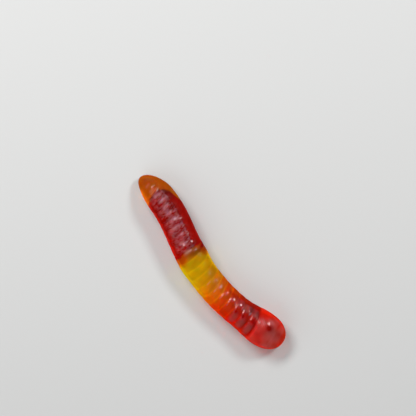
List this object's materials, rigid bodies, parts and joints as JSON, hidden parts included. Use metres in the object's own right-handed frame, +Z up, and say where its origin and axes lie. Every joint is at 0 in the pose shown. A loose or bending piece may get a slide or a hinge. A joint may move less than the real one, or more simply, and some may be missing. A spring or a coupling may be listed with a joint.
{
  "type": "gummy worm candy",
  "caption": "Gummy worm candy: a ridged, gently curved worm of fused coloured jelly with a tapering tail and a round head, lying on its flat underside.",
  "frame": {"origin": "middle of the bounding box, at the height of the surface that the worm lies on", "axes": "+X from the tip of the tail to the tip of the head, +Y to the side that the tail half bows to, +Z up out of the ridged back"},
  "size_m": [0.079, 0.018, 0.0107],
  "materials": {
    "gummy_jelly": "translucent gelatine jelly, red fading through orange and amber yellow to red, with a soft oiled gloss and fine mould grain"
  },
  "bodies": {
    "root": {"gummy_worm": "gummy_jelly"}
  },
  "joints": []
}
